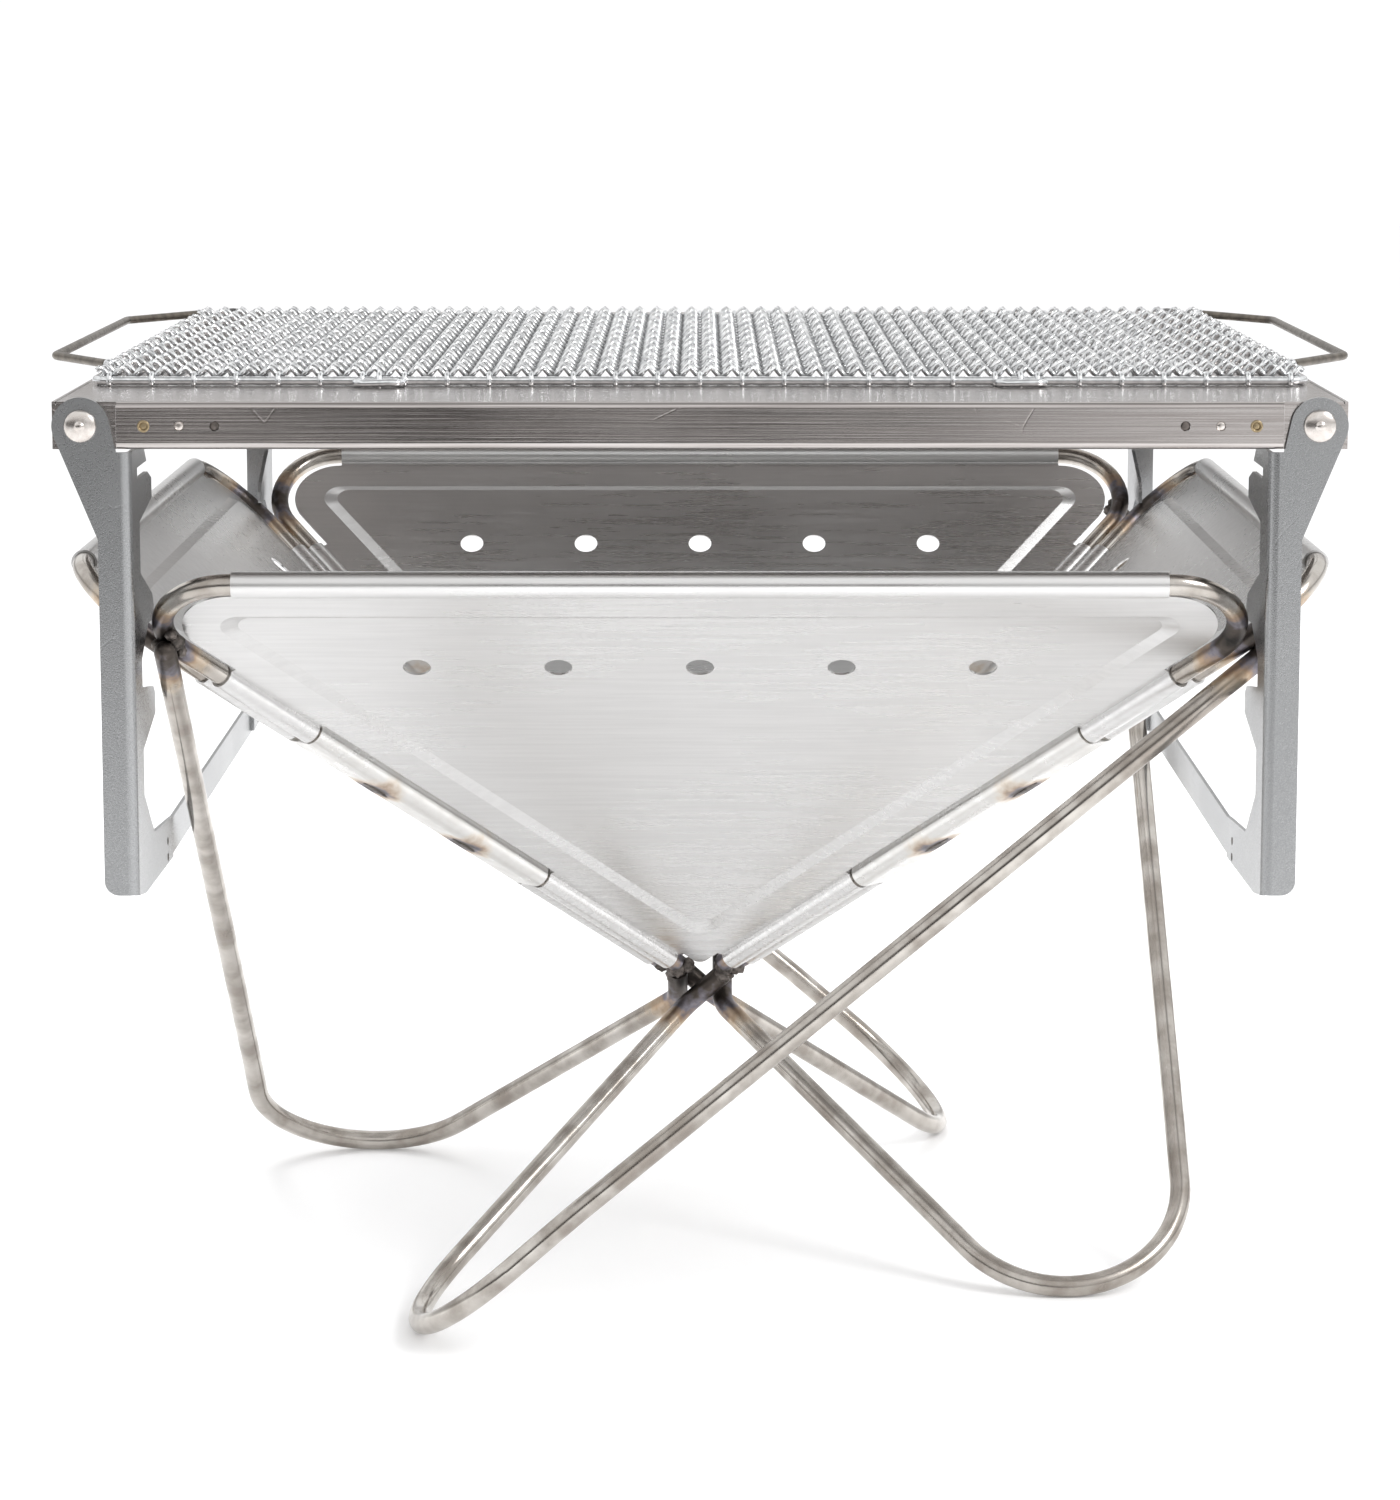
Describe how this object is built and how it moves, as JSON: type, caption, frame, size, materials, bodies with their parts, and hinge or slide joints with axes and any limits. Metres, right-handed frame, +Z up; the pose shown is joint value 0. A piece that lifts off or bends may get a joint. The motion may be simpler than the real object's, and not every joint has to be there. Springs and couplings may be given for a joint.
{
  "type": "folding camp grill",
  "caption": "Camp grill: an inverted pyramid fire pit of sheet panels on bent tube legs, with a lift-off bridge on toothed swing-out legs and a woven cooking net.",
  "frame": {"origin": "on the ground, under the middle of the pit", "axes": "+Z up, -Y to the front, +X to the right"},
  "size_m": [0.4832, 0.4692, 0.3614],
  "materials": {
    "pressed_sheet": "satin pressed stainless sheet",
    "tube_steel": "drawn stainless tube with heat tint",
    "hinge_sheet": "satin stainless wrap with plug welds",
    "brushed_rail": "long brushed stainless",
    "grained_leg_plate": "fine grained stainless plate",
    "rivet_steel": "polished domed rivet",
    "net_wire": "bright galvanised wire",
    "handle_wire": "dark oxidised wire"
  },
  "bodies": {
    "pit": {"front_sheet": "pressed_sheet", "front_frame_tube": "tube_steel", "front_leg_tube": "tube_steel", "right_sheet": "pressed_sheet", "right_frame_tube": "tube_steel", "right_leg_tube": "tube_steel", "back_sheet": "pressed_sheet", "back_frame_tube": "tube_steel", "back_leg_tube": "tube_steel", "left_sheet": "pressed_sheet", "left_frame_tube": "tube_steel", "left_leg_tube": "tube_steel", "front_left_hinge_sleeve": "hinge_sheet", "front_right_hinge_sleeve": "hinge_sheet", "back_right_hinge_sleeve": "hinge_sheet", "back_left_hinge_sleeve": "hinge_sheet"},
    "bridge": {"front_rail": "brushed_rail", "rear_rail": "brushed_rail", "left_end_plate": "brushed_rail", "right_end_plate": "brushed_rail", "leg_pivot_rivets": "rivet_steel"},
    "left_legs": {"left_front_leg": "grained_leg_plate", "left_rear_leg": "grained_leg_plate", "left_cross_strip": "grained_leg_plate"},
    "right_legs": {"right_front_leg": "grained_leg_plate", "right_rear_leg": "grained_leg_plate", "right_cross_strip": "grained_leg_plate"},
    "net": {"net_border_wire": "net_wire", "net_long_rods": "net_wire", "net_cross_wires": "net_wire", "net_stiffener_rods": "net_wire", "net_left_handle": "handle_wire", "net_right_handle": "handle_wire", "net_handle_collars": "net_wire"}
  },
  "joints": [
    {"name": "bridge_lift", "type": "slide", "parent": "pit", "child": "bridge", "axis": [0, 0, 1], "range_m": [0, 0.15]},
    {"name": "left_legs_swing", "type": "hinge", "parent": "bridge", "child": "left_legs", "pos_m": [-0.21087, 0, 0.3458], "axis": [0, 1, 0], "range_deg": [0, 91]},
    {"name": "right_legs_swing", "type": "hinge", "parent": "bridge", "child": "right_legs", "pos_m": [0.21087, 0, 0.3458], "axis": [0, -1, 0], "range_deg": [0, 91]},
    {"name": "net_lift", "type": "slide", "parent": "bridge", "child": "net", "axis": [0, 0, 1], "range_m": [0, 0.15]}
  ],
  "couplings": [
    {"joint": "left_legs_swing", "follows": "bridge_lift", "rad_per_m": 10.472},
    {"joint": "right_legs_swing", "follows": "bridge_lift", "rad_per_m": 10.472}
  ]
}
